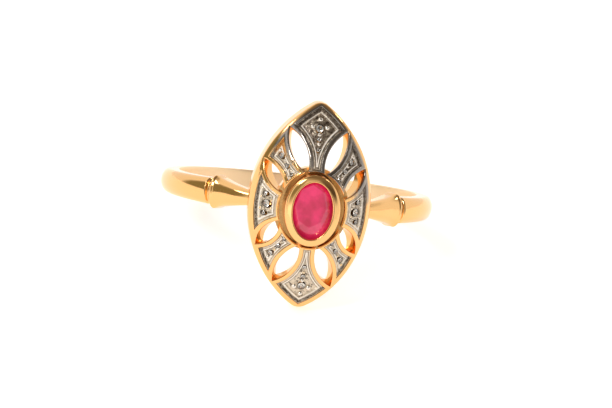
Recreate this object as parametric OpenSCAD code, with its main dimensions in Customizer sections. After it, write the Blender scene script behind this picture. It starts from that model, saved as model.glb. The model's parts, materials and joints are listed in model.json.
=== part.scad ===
// Navette ring: a yellow gold band and a domed, pierced, marquise-shaped head,
// white metal panels let into the head, small diamonds, and an oval red stone in a bezel.
// Millimetres. The ring lies on its side: the lower tip of the head and the back of the
// band touch z = 0, and the finger hole's axis leans back from the vertical.

/* [Band] */
// Radius of the finger hole
finger_r = 8.5; // [7.5:0.05:9.5]
// Width of the band behind the collars
band_w = 1.8; // [1.6:0.02:2]
// Thickness of the band behind the collars
band_t = 1.32; // [1.2:0.02:1.42]
// Width of the band at its back
back_w = 1.42; // [1.3:0.02:1.7]
// Thickness of the band at its back
back_t = 1.1; // [0.9:0.02:1.3]
// Share of a band section's thickness that is a plain edge before the half round starts
edge_share = 0.55; // [0.2:0.05:0.7]

/* [Shoulders] */
// Angle from the middle of the head to the ridge of a collar
collar_angle = 42.8; // [40:0.2:46]
// Width of a collar at its ridge
collar_w = 2.34; // [2.16:0.02:2.5]
// Thickness of a collar at its ridge
collar_t = 1.46; // [1.42:0.02:1.7]
// Length over which a neck swells into its collar
collar_l = 0.5; // [0.4:0.02:0.8]
// Length of the groove between a collar and the band
groove_l = 0.34; // [0.28:0.02:0.44]
// Width of the groove's floor
groove_w = 1.66; // [1.5:0.02:1.7]
// Thickness at the groove's floor
groove_t = 1.12; // [1:0.02:1.18]
// Width of a neck at its foot
neck_w = 2.02; // [1.8:0.02:2.1]
// Thickness of a neck at its foot
neck_t = 1.42; // [1.3:0.02:1.5]
// Width of a neck where it joins the head
neck_end_w = 1; // [0.8:0.02:1.2]
// Thickness of a neck where it joins the head
neck_end_t = 1.1; // [0.9:0.02:1.3]

/* [Head] */
// Length of the head before its tips are rounded
plate_l = 14.7; // [13.5:0.1:15.5]
// Width of the head
plate_w = 8.5; // [8:0.1:9]
// Radius of the rounded tips
tip_r = 0.9; // [0.5:0.05:1.2]
// Height of the head's outline plane over the finger hole
head_rise = 1.6; // [1.55:0.01:1.8]
// Lean of the head out of square with the band, top tip forward
head_lean = 4; // [0:0.5:5]
// Height of the dome over the outline plane
dome_h = 2.7; // [2.4:0.05:3]
// Thickness of the head's shell
plate_t = 1; // [0.8:0.05:1.2]
// Depth of the head's side wall below the outline plane
wall_h = 1.1; // [0.9:0.01:1.15]
// Thickness of the head's side wall
wall_t = 0.55; // [0.45:0.01:0.7]
// Width of the polished border
rim_w = 0.33; // [0.25:0.01:0.45]
// Width of the polished lips round the leaf openings
lip_w = 0.3; // [0.22:0.01:0.36]

/* [Leaf openings] */
// Wall left between an opening's outer tip and the edge of the head
web = 0.18; // [0.16:0.01:0.28]
// Depth by which an opening's inner tip runs into the collar of the bezel
tip_reach = 0.05; // [0.03:0.01:0.08]
// Width of an opening near the head's ends
tall_w = 1.1; // [0.9:0.02:1.2]
// Place of its inner tip round the collar, degrees from the head's width
tall_at = 74.7; // [73:0.1:76]
// Direction of its axis, degrees from the head's width
tall_turn = 63.6; // [62:0.1:65]
// Width of an opening near the head's sides
side_w = 0.92; // [0.8:0.02:1]
// Place of its inner tip round the collar, degrees from the head's width
side_at = 22; // [20:0.1:23]
// Direction of its axis, degrees from the head's width
side_turn = 55; // [54:0.1:58]

/* [White metal panels] */
// Depth of the pockets that the panels lie in
pocket_d = 0.5; // [0.45:0.01:0.6]
// Depth of a panel's milled edge below the dome
edge_d = 0.09; // [0.06:0.01:0.12]
// Depth of a panel's floor below the dome
floor_d = 0.2; // [0.15:0.01:0.25]
// Width of a panel's milled edge
milled_w = 0.12; // [0.08:0.01:0.16]
// Radius of the raised grains
grain_r = 0.11; // [0.08:0.005:0.13]
// Radii of the three diamonds in a panel at a tip, as shares of the room round them
tip_stones = [0.247, 0.2, 0.3]; // [0.2:0.001:0.8]
// Radii of the three diamonds in a panel on a diagonal, as shares of the room round them
diagonal_stones = [0.42, 0.5, 0.75]; // [0.2:0.001:0.8]
// Radii of the three diamonds in a panel at a side, as shares of the room round them
side_stones = [0.38, 0.31, 0.31]; // [0.2:0.001:0.8]
// Clearance round panels and stones
gap = 0.02; // [0.01:0.005:0.03]

/* [Bezel and red stone] */
// Length and width of the bezel
bezel_size = [5, 3.86]; // [3.7:0.02:5.2]
// Length and width of the opening in the bezel's lip
lip_size = [3.94, 2.72]; // [2.6:0.02:4.1]
// Length and width of the red stone
stone_size = [4.14, 2.94]; // [2.8:0.02:4.2]
// Length and width of the head's own opening round the bezel
collar_size = [5.3, 4.66]; // [4.5:0.02:5.5]
// Height of the bezel's lip over the top of the dome
bezel_rise = 0.22; // [0.14:0.01:0.4]
// Thickness of the bezel's lip
lip_t = 0.13; // [0.08:0.01:0.16]
// Width of the ledge under the red stone's edge
ledge_w = 0.14; // [0.1:0.01:0.2]
// Thickness of the ring that joins the bezel to the head
joint_t = 0.8; // [0.6:0.05:1]
// Height of the red stone's crown
crown_h = 0.46; // [0.4:0.01:0.5]
// Depth of the red stone's pavilion
pavilion_h = 1.1; // [0.9:0.05:1.3]
// Thickness of the red stone's girdle
girdle_t = 0.06; // [0.04:0.01:0.1]
// Size of the stone's table, as a share of the stone
table_share = 0.72; // [0.6:0.01:0.74]
// Shift of the stone's table from its middle, across and along
table_shift = [-0.16, 0.34]; // [-0.2:0.01:0.36]

/* [Hidden] */
$fn = 96;

// Kinds of panel: at a tip, on a diagonal, at a side.
TIP = 0;
DIAGONAL = 1;
SIDE = 2;

// [place, kind, side across, side along]
PANELS = [
    ["n", TIP, 1, 1], ["s", TIP, 1, -1], ["e", SIDE, 1, 1], ["w", SIDE, -1, 1],
    ["ne", DIAGONAL, 1, 1], ["nw", DIAGONAL, -1, 1], ["se", DIAGONAL, 1, -1], ["sw", DIAGONAL, -1, -1]
];

// Diamonds of each kind of panel: [kind, place across, place along, share of the room].
// Places are shares of the panel's own reach, as panel_place() takes them.
DIAMONDS = [
    [TIP, 0, 0.67, tip_stones[0]], [TIP, 0, 0.495, tip_stones[1]], [TIP, 0, 0.325, tip_stones[2]],
    [DIAGONAL, -0.03, 0.765, diagonal_stones[0]], [DIAGONAL, -0.02, 0.49, diagonal_stones[1]],
    [DIAGONAL, 0, 0.25, diagonal_stones[2]],
    [SIDE, 0.51, 0, side_stones[0]], [SIDE, 0.6, 0.232, side_stones[1]], [SIDE, 0.6, -0.232, side_stones[2]]
];

// Raised grains of each kind of panel: [kind, place across, place along, share of the grain radius].
GRAINS = [
    [TIP, 0.245, 0.69, 1.5], [TIP, -0.245, 0.69, 1.5], [TIP, 0, 0.81, 1.5], [TIP, 0, 0.567, 1.14],
    [TIP, 0, 0.415, 1.15],
    [DIAGONAL, -0.1, 0.89, 1.27], [DIAGONAL, -0.06, 0.617, 1], [DIAGONAL, 0, 0.37, 0.73],
    [SIDE, 0.28, 0.094, 1], [SIDE, 0.28, -0.094, 1], [SIDE, 0.76, 0.136, 1], [SIDE, 0.76, -0.136, 1],
    [SIDE, 0.77, 0.34, 0.9], [SIDE, 0.77, -0.34, 0.9]
];

function unit(v) = v / norm(v);
function between(a, b, t) = a + (b - a) * t;

ARC_STEP = 6;
SECTION_STEPS = 12;
// Outline of the head: two arcs and a rounded tip at each end.
half_l = plate_l / 2;
half_w = plate_w / 2;
side_r = (half_l ^ 2 + half_w ^ 2) / plate_w;
side_off = side_r - half_w;
tip_v = sqrt((side_r - tip_r) ^ 2 - side_off ^ 2);
tip_end = tip_v + tip_r;

// The dome is part of a torus whose axis runs across the head, below it.
along_r = (half_l ^ 2 + dome_h ^ 2) / (2 * dome_h);
across_r = (half_w ^ 2 + dome_h ^ 2) / (2 * dome_h);
dome_low = along_r - dome_h;
spine_r = along_r - across_r;
DOME_FN = 160;
SKY = dome_h + 2;
OVAL_SIDES = 48;

// Height of the dome over the outline plane, and its outward normal.
function height(p) = sqrt((spine_r + sqrt(across_r ^ 2 - p[0] ^ 2)) ^ 2 - p[1] ^ 2) - dome_low;
function on_dome(p) = [p[0], p[1], height(p)];
function spine(p) = let (way = unit([0, p[1], height(p) + dome_low])) spine_r * way - [0, 0, dome_low];
function normal(p) = unit(on_dome(p) - spine(p));

// Tips of the openings. The inner one is on the collar's oval, the outer one inside the edge.
function inner_tip(at) =
    [(collar_size[1] / 2 - tip_reach) * cos(at), (collar_size[0] / 2 - tip_reach) * sin(at)];
function outer_tip(from, turn) =
    let (way = [cos(turn), sin(turn)], out = from + [side_off, 0], along = out * way)
    from + way * (sqrt(along ^ 2 - out * out + (side_r - web) ^ 2) - along);
tall_in = inner_tip(tall_at);
tall_out = outer_tip(tall_in, tall_turn);
side_in = inner_tip(side_at);
side_out = outer_tip(side_in, side_turn);

// Reach of the panels: between the collar and the border, or along a diagonal's middle line.
collar_edge = collar_size / 2 + [rim_w, rim_w] / 2;
border_end = sqrt((side_r - rim_w) ^ 2 - side_off ^ 2);
border_side = half_w - rim_w;
diagonal_in = (tall_in + side_in) / 2;
diagonal_out = between(tall_out, side_out, 0.6);

// Place in the head for shares of a panel's reach, across and along.
function panel_place(kind, across, along) =
    kind == TIP ? [across * tall_out[0], between(collar_edge[0], border_end, along)]
    : kind == SIDE ? [between(collar_edge[1], border_side, across), along * side_out[1]]
    : let (way = diagonal_out - diagonal_in)
      between(diagonal_in, diagonal_out, along)
      + across * norm(tall_out - side_out) / 2 * unit([way[1], -way[0]]);

// Room round a point of a panel: the distance to the nearest lip, border or collar.
function leaf_room(p, inner, outer, width) =
    let (
        way = outer - inner,
        r = (norm(way) ^ 2 + width ^ 2) / (4 * width),
        side = (r - width / 2) * unit([-way[1], way[0]]),
        middle = (inner + outer) / 2
    )
    max(norm(p - middle - side), norm(p - middle + side)) - r - lip_w;
function room(p) = min(
    side_r - rim_w - norm([p[0] + side_off, p[1]]),
    leaf_room(p, tall_in, tall_out, tall_w),
    leaf_room(p, side_in, side_out, side_w),
    (norm([p[0] / collar_edge[1], p[1] / collar_edge[0]]) - 1) * collar_edge[1]
);
function stone_radius(stone) =
    let (p = panel_place(stone[0], stone[1], stone[2])) stone[3] * room([abs(p[0]), abs(p[1])]);

// Bezel and red stone, heights over the outline plane.
bezel_top = dome_h + bezel_rise;
girdle_z = bezel_top - crown_h;
seat_size = stone_size - [2 * ledge_w, 2 * ledge_w];
seat_z = girdle_z - girdle_t / 2 - pavilion_h * 2 * ledge_w / stone_size[1] - gap;
groove_z = height([0, collar_size[0] / 2]) - 0.8 * plate_t;
joint_low = groove_z - joint_t;
BEZEL_STEPS = 6;
BEZEL_ROLL = 0.8;

// Diamonds: heights as shares of the radius, and the girdle's height over a panel's floor.
DIAMOND_CROWN = 0.32;
DIAMOND_GIRDLE = 0.06;
DIAMOND_PAVILION = 0.6;
DIAMOND_TABLE = 0.58;
diamond_rise = 0.04;

// A neck ends in the head's side wall, a fifth of its thickness below the wall's lower edge.
head_out = finger_r + head_rise;
neck_end = [half_w - wall_t, head_out - wall_h];
neck_angle = atan2(neck_end[0], neck_end[1]);
neck_in = norm(neck_end) - neck_end_t / 5 - finger_r;
neck_out = neck_in + neck_end_t;
arc = 180 / (PI * (finger_r + collar_t));
foot_angle = collar_angle - collar_l * arc;
groove_angle = collar_angle + 0.3 * collar_l * arc;

// Stations of half the band, from the head to its back:
// [angle from the head, width, inner surface over the finger hole, outer surface over it].
// A negative inner height is cut away by the finger hole.
bore_cut = 0.25;
STATIONS = [
    [neck_angle, neck_end_w, neck_in, neck_out],
    [between(neck_angle, foot_angle, 0.42), between(neck_end_w, neck_w, 0.38),
        0.54 * neck_in, between(neck_out, neck_t, 0.45)],
    [foot_angle, neck_w, -bore_cut, neck_t],
    [collar_angle - 0.4 * collar_l * arc, 0.95 * collar_w, -bore_cut, 0.96 * collar_t],
    [collar_angle, collar_w, -bore_cut, collar_t],
    [groove_angle, 0.94 * collar_w, -bore_cut, 0.94 * collar_t],
    [groove_angle + 0.4 * groove_l * arc, groove_w, -bore_cut, groove_t],
    [groove_angle + 0.9 * groove_l * arc, groove_w, -bore_cut, groove_t],
    [groove_angle + 1.4 * groove_l * arc, 1.03 * band_w, -bore_cut, 1.02 * band_t],
    [between(collar_angle, 180, 0.095), band_w, -bore_cut, band_t],
    [between(collar_angle, 180, 0.364), between(band_w, back_w, 0.32),
        -bore_cut, between(band_t, back_t, 0.25)],
    [180, back_w, -bore_cut, back_t]
];

// The lower tip of the head and the lower back edge of the band rest on the ground.
tip_y = -(head_out - tip_end * sin(head_lean) - wall_h * cos(head_lean));
tip_z = -tip_end * cos(head_lean) + wall_h * sin(head_lean);
back_r = finger_r + edge_share * back_t;
back_half = [(1 - edge_share) * back_t, back_w / 2];
function back_sag(a) = back_r * sin(a) + norm([back_half[0] * sin(a), back_half[1] * cos(a)]);
function tip_sag(a) = tip_y * sin(a) - tip_z * cos(a);
function rest_angle(low, high) =
    high - low < 0.0001 ? low
    : let (mid = (low + high) / 2)
      tip_sag(mid) > back_sag(mid) ? rest_angle(mid, high) : rest_angle(low, mid);
tilt = rest_angle(5, 40);
lift = back_sag(tilt);
front_v = -bezel_size[0] / 2 * BEZEL_ROLL;
front_y = -head_out - front_v * sin(head_lean) - bezel_top * cos(head_lean);
front_z = front_v * cos(head_lean) - bezel_top * sin(head_lean);
front = front_y * cos(tilt) + front_z * sin(tilt);
back = (finger_r + back_t) * cos(tilt);

module frame(x, y, z, at) {
    multmatrix([
        [x[0], y[0], z[0], at[0]],
        [x[1], y[1], z[1], at[1]],
        [x[2], y[2], z[2], at[2]],
        [0, 0, 0, 1]
    ]) children();
}

// Puts children at a place on the dome, z along its normal.
module stand_on_dome(p) {
    z = normal(p);
    x = unit(cross([0, 1, 0], z));
    frame(x, cross(z, x), z, on_dome(p)) children();
}

// The head lies in the xy plane, its dome upward. This brings it to the band.
module place_head() {
    translate([0, -head_out, 0]) rotate([90 + head_lean, 0, 0]) children();
}

// The band's axis is z and the head is at -y. This lays the ring down.
module lay_down() {
    translate([0, -(front + back) / 2, lift]) rotate([-tilt, 0, 0]) children();
}

// A cut stone, its girdle at z = 0: table, crown, girdle and pavilion.
module cut_stone(half, sides, crown, girdle, pavilion, table, shift) {
    rows = 2 * sides;
    rim = [for (i = [0:rows - 1]) [half[0] * cos(180 * i / sides), half[1] * sin(180 * i / sides)]];
    top = [for (i = [0:sides - 1]) [
        shift[0] + table * half[0] * cos(360 * i / sides),
        shift[1] + table * half[1] * sin(360 * i / sides),
        crown + girdle / 2
    ]];
    upper = [for (p = rim) [p[0], p[1], girdle / 2]];
    lower = [for (p = rim) [p[0], p[1], -girdle / 2]];
    culet = [0, 0, -girdle / 2 - pavilion];
    u = sides;
    l = sides + rows;
    c = sides + 2 * rows;
    polyhedron(
        points = concat(top, upper, lower, [culet]),
        faces = concat(
            [[for (i = [sides - 1:-1:0]) i]],
            [for (i = [0:sides - 1]) [i, (i + 1) % sides, u + 2 * i + 1]],
            [for (i = [0:sides - 1]) [i, u + 2 * i + 1, u + 2 * i]],
            [for (i = [0:sides - 1]) [i, u + 2 * i, u + (2 * i - 1 + rows) % rows]],
            [for (i = [0:rows - 1]) [u + i, u + (i + 1) % rows, l + (i + 1) % rows, l + i]],
            [for (i = [0:rows - 1]) [l + i, l + (i + 1) % rows, c]]
        )
    );
}

// Upright prism between the head's two side arcs, drawn in by inset, with pointed ends.
module border_prism(inset, low, high) {
    intersection_for(side = [-1, 1])
        translate([side * side_off, 0, low]) cylinder(r = side_r - inset, h = high - low, $fn = DOME_FN);
}

// Upright prism of the head's outline, its tips rounded.
module outline_prism(inset, low, high) {
    join = tip_v * (side_r - inset) / (side_r - tip_r);
    intersection() {
        border_prism(inset, low, high);
        translate([-half_w, -join, low]) cube([plate_w, 2 * join, high - low]);
    }
    for (side = [-1, 1]) translate([0, side * tip_v, low]) cylinder(r = tip_r - inset, h = high - low);
}

// The solid under the dome, its surface sunk by depth.
module under_dome(depth) {
    translate([0, 0, -dome_low]) rotate([0, 90, 0]) rotate_extrude($fn = DOME_FN)
        translate([spine_r, 0]) circle(r = across_r - depth, $fn = DOME_FN);
}

// Leaf shape between two arcs, long in x, drawn outward by grow.
module leaf(length, width, grow, low, high) {
    r = (length ^ 2 + width ^ 2) / (4 * width);
    intersection_for(side = [-1, 1])
        translate([0, side * (r - width / 2), low]) cylinder(r = r + grow, h = high - low);
}

// An opening's outline seen from straight ahead.
module leaf_prism(from, to, width, grow) {
    way = to - from;
    at = (from + to) / 2;
    translate([at[0], at[1], 0]) rotate([0, 0, atan2(way[1], way[0])])
        leaf(norm(way), width, grow, -wall_h, SKY);
}

// The cut of an opening, square to the dome.
module leaf_cut(from, to, width) {
    way = on_dome(to) - on_dome(from);
    x = unit(way);
    y = unit(cross(normal((from + to) / 2), x));
    frame(x, y, cross(x, y), (on_dome(from) + on_dome(to)) / 2)
        leaf(norm(way), width / norm([y[0], y[1]]), 0, -2 * plate_t, plate_t);
}

module four_ways() {
    for (across = [0, 1]) mirror([across, 0, 0])
        for (along = [0, 1]) mirror([0, along, 0]) children();
}

function oval(size) = [for (i = [0:OVAL_SIDES - 1])
    [size[1] / 2 * cos(360 * i / OVAL_SIDES), size[0] / 2 * sin(360 * i / OVAL_SIDES)]];

module oval_prism(size, grow, low, high) {
    translate([0, 0, low]) linear_extrude(high - low) polygon(oval(size + [2 * grow, 2 * grow]));
}

// Solid through a row of level ovals, each [length, width, height], the lowest first.
module oval_stack(levels) {
    n = OVAL_SIDES;
    last = len(levels) - 1;
    polyhedron(
        points = [for (v = levels) for (p = oval(v)) [p[0], p[1], v[2]]],
        faces = concat(
            [[for (j = [0:n - 1]) j]],
            [for (i = [0:last - 1]) for (j = [0:n - 1])
                [i * n + j, (i + 1) * n + j, (i + 1) * n + (j + 1) % n, i * n + (j + 1) % n]],
            [[for (j = [n - 1:-1:0]) last * n + j]]
        )
    );
}

// Wedge between the axes of two neighbouring openings.
module wedge(kind) {
    tall_way = unit(tall_out - tall_in);
    side_way = unit(side_out - side_in);
    tall_root = tall_in - tall_way * tall_in[0] / tall_way[0];
    side_root = side_in - side_way * side_in[1] / side_way[1];
    tall_far = tall_root + 2 * half_l * tall_way;
    side_far = side_root + 2 * half_l * side_way;
    ways = [
        [tall_root, tall_far, [-tall_far[0], tall_far[1]]],
        [tall_root, tall_far, side_far, side_root],
        [side_root, side_far, [side_far[0], -side_far[1]]]
    ];
    translate([0, 0, -wall_h]) linear_extrude(wall_h + SKY) polygon(ways[kind]);
}

// What is left of the head between the openings, their lips, the border and the bezel.
module field(kind, grow) {
    difference() {
        intersection() {
            wedge(kind);
            border_prism(rim_w + grow, -wall_h, SKY);
        }
        if (kind != SIDE) leaf_prism(tall_in, tall_out, tall_w, lip_w + grow);
        if (kind == TIP) mirror([1, 0, 0]) leaf_prism(tall_in, tall_out, tall_w, lip_w + grow);
        if (kind != TIP) leaf_prism(side_in, side_out, side_w, lip_w + grow);
        if (kind == SIDE) mirror([0, 1, 0]) leaf_prism(side_in, side_out, side_w, lip_w + grow);
        oval_prism(collar_size, rim_w / 2 + grow, -wall_h, SKY + 1);
    }
}

// The pockets of all eight panels.
module pockets() {
    difference() {
        border_prism(rim_w, -wall_h, SKY);
        four_ways() {
            leaf_prism(tall_in, tall_out, tall_w, lip_w);
            leaf_prism(side_in, side_out, side_w, lip_w);
        }
        oval_prism(collar_size, rim_w / 2, -wall_h, SKY + 1);
        under_dome(pocket_d);
    }
}

// Drilled seat of a diamond, open to the back of the head.
module seat(stone) {
    stand_on_dome(panel_place(stone[0], stone[1], stone[2]))
        translate([0, 0, -2 * plate_t]) cylinder(r = stone_radius(stone) + gap, h = 3 * plate_t, $fn = 32);
}

module panel(kind) {
    difference() {
        intersection() {
            field(kind, gap);
            under_dome(edge_d);
        }
        under_dome(pocket_d - gap);
        difference() {
            field(kind, milled_w);
            under_dome(floor_d);
        }
        for (stone = DIAMONDS) if (stone[0] == kind) seat(stone);
    }
    for (grain = GRAINS) if (grain[0] == kind)
        stand_on_dome(panel_place(kind, grain[1], grain[2]))
            translate([0, 0, -floor_d]) sphere(r = grain[3] * grain_r, $fn = 24);
}

module shell() {
    difference() {
        intersection() {
            outline_prism(0, -wall_h, SKY);
            under_dome(0);
        }
        intersection() {
            outline_prism(wall_t, -2 * wall_h, SKY);
            under_dome(plate_t);
        }
        four_ways() {
            leaf_cut(tall_in, tall_out, tall_w);
            leaf_cut(side_in, side_out, side_w);
        }
        pockets();
        oval_prism(collar_size, 0, -wall_h, SKY);
    }
}

module bezel() {
    fall = (bezel_size - lip_size) / 2;
    difference() {
        union() {
            oval_prism(collar_size, plate_t / 4, joint_low, groove_z);
            oval_stack(concat(
                [[bezel_size[0], bezel_size[1], joint_low]],
                [for (i = [0:BEZEL_STEPS]) let (a = 90 * i / BEZEL_STEPS, in = 2 * BEZEL_ROLL * (1 - cos(a))) [
                    bezel_size[0] - in * fall[0],
                    bezel_size[1] - in * fall[1],
                    girdle_z + (bezel_top - girdle_z) * sin(a)
                ]]
            ));
        }
        oval_prism(seat_size, 0, 0, SKY);
        oval_prism(stone_size, gap, seat_z, bezel_top - lip_t);
        oval_prism(lip_size, 0, seat_z, SKY);
    }
}

// One section of the band: half round outside, straight edges, flat inside.
function section(s) =
    let (
        inner = finger_r + s[2],
        outer = finger_r + s[3],
        edge = between(max(inner, finger_r), outer, edge_share)
    )
    concat(
        [[inner, -s[1] / 2]],
        [for (i = [0:SECTION_STEPS]) let (a = -90 + 180 * i / SECTION_STEPS)
            [edge + (outer - edge) * cos(a), s[1] / 2 * sin(a)]],
        [[inner, s[1] / 2]]
    );

half_band = concat(
    [for (i = [0:len(STATIONS) - 2])
        let (a = STATIONS[i], b = STATIONS[i + 1], n = ceil((b[0] - a[0]) / ARC_STEP))
        for (k = [0:n - 1]) between(a, b, k / n)],
    [STATIONS[len(STATIONS) - 1]]
);

module band() {
    half = len(half_band);
    all = concat(half_band, [for (i = [half - 2:-1:0]) [360 - half_band[i][0], half_band[i][1],
        half_band[i][2], half_band[i][3]]]);
    n = SECTION_STEPS + 3;
    last = len(all) - 1;
    difference() {
        polyhedron(
            points = [for (s = all) for (p = section(s)) [p[0] * sin(s[0]), -p[0] * cos(s[0]), p[1]]],
            faces = concat(
                [[for (j = [n - 1:-1:0]) j]],
                [for (i = [0:last - 1]) for (j = [0:n - 1])
                    [i * n + j, (i + 1) * n + (j + 1) % n, (i + 1) * n + j]],
                [for (i = [0:last - 1]) for (j = [0:n - 1])
                    [i * n + j, i * n + (j + 1) % n, (i + 1) * n + (j + 1) % n]],
                [[for (j = [0:n - 1]) last * n + j]]
            )
        );
        cylinder(r = finger_r, h = 2 * collar_w, center = true);
    }
}

module gold_body() {
    color("goldenrod") lay_down() {
        band();
        place_head() {
            shell();
            bezel();
        }
    }
}

module ruby() {
    color("crimson") lay_down() place_head() translate([0, 0, girdle_z])
        cut_stone([stone_size[1] / 2, stone_size[0] / 2], 8, crown_h, girdle_t, pavilion_h,
            table_share, table_shift);
}

module white_panel(place) {
    color("gainsboro") lay_down() place_head()
        mirror([place[2] < 0 ? 1 : 0, 0, 0]) mirror([0, place[3] < 0 ? 1 : 0, 0]) panel(place[1]);
}

module diamond(place, stone) {
    r = stone_radius(stone);
    color("aliceblue") lay_down() place_head()
        mirror([place[2] < 0 ? 1 : 0, 0, 0]) mirror([0, place[3] < 0 ? 1 : 0, 0])
            stand_on_dome(panel_place(stone[0], stone[1], stone[2])) translate([0, 0, diamond_rise - floor_d])
                cut_stone([r, r], 6, r * DIAMOND_CROWN, r * DIAMOND_GIRDLE, r * DIAMOND_PAVILION,
                    DIAMOND_TABLE, [0, 0]);
}

gold_body();
ruby();
for (place = PANELS) white_panel(place);
for (place = PANELS) for (i = [1:3])
    diamond(place, [for (s = DIAMONDS) if (s[0] == place[1]) s][i - 1]);
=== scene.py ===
# %% [markdown]
# # A navette ring
# A gold ring with a long, pointed, domed head lies on its side on a pale table. The head is pierced
# with eight leaf-shaped openings. Eight panels of white metal with small diamonds lie in it, and an
# oval red stone sits in a smooth collar. This lesson dresses the measured solids of the ring.
# Sizes are in millimetres. One function turns them into Blender's metres.

# %% Start from the measured solids
import json
import math

import bmesh
import bpy
import numpy as np
from mathutils import Matrix, Vector
from mathutils.geometry import delaunay_2d_cdt

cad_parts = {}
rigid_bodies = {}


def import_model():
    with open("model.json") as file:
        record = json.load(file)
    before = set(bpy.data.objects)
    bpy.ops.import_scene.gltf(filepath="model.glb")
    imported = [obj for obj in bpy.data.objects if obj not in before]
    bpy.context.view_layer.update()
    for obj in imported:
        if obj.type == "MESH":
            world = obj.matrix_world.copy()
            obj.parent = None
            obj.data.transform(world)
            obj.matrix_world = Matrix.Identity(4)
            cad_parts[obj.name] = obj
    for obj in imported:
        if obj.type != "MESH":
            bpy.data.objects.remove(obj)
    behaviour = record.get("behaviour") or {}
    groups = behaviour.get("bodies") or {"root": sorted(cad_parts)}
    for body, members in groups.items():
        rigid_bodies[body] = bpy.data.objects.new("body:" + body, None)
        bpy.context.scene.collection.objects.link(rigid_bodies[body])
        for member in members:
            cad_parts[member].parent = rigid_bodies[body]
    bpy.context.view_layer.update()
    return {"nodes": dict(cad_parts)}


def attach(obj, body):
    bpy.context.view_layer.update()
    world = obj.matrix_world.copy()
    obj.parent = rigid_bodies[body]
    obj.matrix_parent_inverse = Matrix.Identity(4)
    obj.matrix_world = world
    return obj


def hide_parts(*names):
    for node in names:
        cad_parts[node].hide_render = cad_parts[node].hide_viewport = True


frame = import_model()
solids = frame["nodes"]
print("measured solids:", len(solids))

# %% [markdown]
# ## The sizes that everything follows
# A jeweller thinks of this head as a marquise outline, two arcs that meet in rounded tips, raised
# into a dome. The dome is a patch of a torus, which needs only two radii. The new surfaces use the
# same few sizes as the solids, so they lie exactly on them.

# %% Sizes of the ring
MM = 0.001
FINGER_R = 8.5
# The outline: half its length and width before the tips are rounded, and the tips' radius.
HALF_L, HALF_W, TIP_R = 7.35, 4.25, 0.9
# The head: height of the dome, height and thickness of the side wall, thickness of the dome's plate.
DOME_H, WALL_H, WALL_T, PLATE_T = 2.7, 1.1, 0.55, 1.0
# Width of the polished rim and of the lips round the leaves, depth of the pockets, and clearance.
RIM_W, LIP_W, POCKET_D, GAP = 0.33, 0.3, 0.5, 0.02
# Radii of the hole under the bezel, of the bezel, of the opening in its lip and of the red stone.
COLLAR = np.array([2.33, 2.65])
BEZEL, LIP_HOLE, STONE = np.array([1.93, 2.5]), np.array([1.36, 1.97]), np.array([1.47, 2.07])
# Heights over the plane of the outline: top of the bezel, floor of the groove, and the joint below it.
BEZEL_TOP, GROOVE_Z = 2.92, 1.586
JOINT_LOW = GROOVE_Z - 0.8
# The head stands this far from the middle of the finger hole and leans a little out at its top.
HEAD_OUT, HEAD_LEAN = 10.1, math.radians(4)
# At this tilt the lower tip of the head and the back of the band both touch the table.
TILT, MIDDLE_Y, LIFT = math.radians(19.8726), 1.91295, 3.78366

SIDE_R = (HALF_L ** 2 + HALF_W ** 2) / (2 * HALF_W)
SIDE_OFF = SIDE_R - HALF_W
TIP_V = math.sqrt((SIDE_R - TIP_R) ** 2 - SIDE_OFF ** 2)
ALONG_R = (HALF_L ** 2 + DOME_H ** 2) / (2 * DOME_H)
ACROSS_R = (HALF_W ** 2 + DOME_H ** 2) / (2 * DOME_H)
SPINE_R, DOME_LOW = ALONG_R - ACROSS_R, ALONG_R - DOME_H

RING = Matrix.Translation((0, MIDDLE_Y, LIFT)) @ Matrix.Rotation(-TILT, 4, "X")
HEAD = RING @ Matrix.Translation((0, -HEAD_OUT, 0)) @ Matrix.Rotation(math.pi / 2 + HEAD_LEAN, 4, "X")
print("head:", round(2 * (TIP_V + TIP_R), 2), "by", 2 * HALF_W, "mm")

# %% [markdown]
# ## The camera comes first
# The photo was taken with a long lens from a little to the ring's left and a little above its band.
# The three angles were found by matching the head's outline and openings to the picture. The camera
# stands 280 mm from the head, so it shows almost no perspective.

# %% Camera at the photo's angle
YAW, RISE, ROLL = 5.7, 4.3, 6.4
FAR, SENSOR = 280, 36
PIXELS_PER_MM, PICTURE_WIDTH = 14.46, 612
# The middle of the head stands this many pixels right of and below the middle of the picture.
PIXELS_RIGHT, PIXELS_BELOW = 3.3, 1


def turn(axis, degrees):
    return Matrix.Rotation(math.radians(degrees), 3, axis)


look = turn("Z", -ROLL) @ turn("X", RISE) @ turn("Y", YAW)
ring_axes = Matrix(((1, 0, 0), (0, math.sin(TILT), -math.cos(TILT)), (0, math.cos(TILT), math.sin(TILT))))
face = ring_axes @ look.transposed()
aside = Vector((-PIXELS_RIGHT / PIXELS_PER_MM, PIXELS_BELOW / PIXELS_PER_MM, FAR))
aim = HEAD.translation + face @ aside

camera = bpy.data.objects.new("camera", bpy.data.cameras.new("camera"))
camera.matrix_world = Matrix.Translation(aim * MM) @ face.to_4x4()
camera.data.sensor_width = SENSOR
camera.data.lens = FAR * PIXELS_PER_MM * SENSOR / PICTURE_WIDTH
camera.data.clip_start, camera.data.clip_end = 0.01, 10
bpy.context.scene.collection.objects.link(camera)
bpy.context.scene.camera = camera
print("lens:", round(camera.data.lens), "mm, camera at", [round(x, 4) for x in camera.location])

# %% [markdown]
# ## Colours and nodes
# Blender's shaders take linear values, and a colour is easier to read as an sRGB hex value. Two
# small helpers keep every material short: one turns a hex colour to linear values, and one adds a
# node with its settings and links.

# %% A helper for colours and one for nodes
def linear(hex_colour):
    """An sRGB hex colour as the linear values that a shader socket takes."""
    parts = [int(hex_colour[i:i + 2], 16) / 255 for i in (1, 3, 5)]
    return [c / 12.92 if c <= 0.04045 else ((c + 0.055) / 1.055) ** 2.4 for c in parts] + [1.0]


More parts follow.
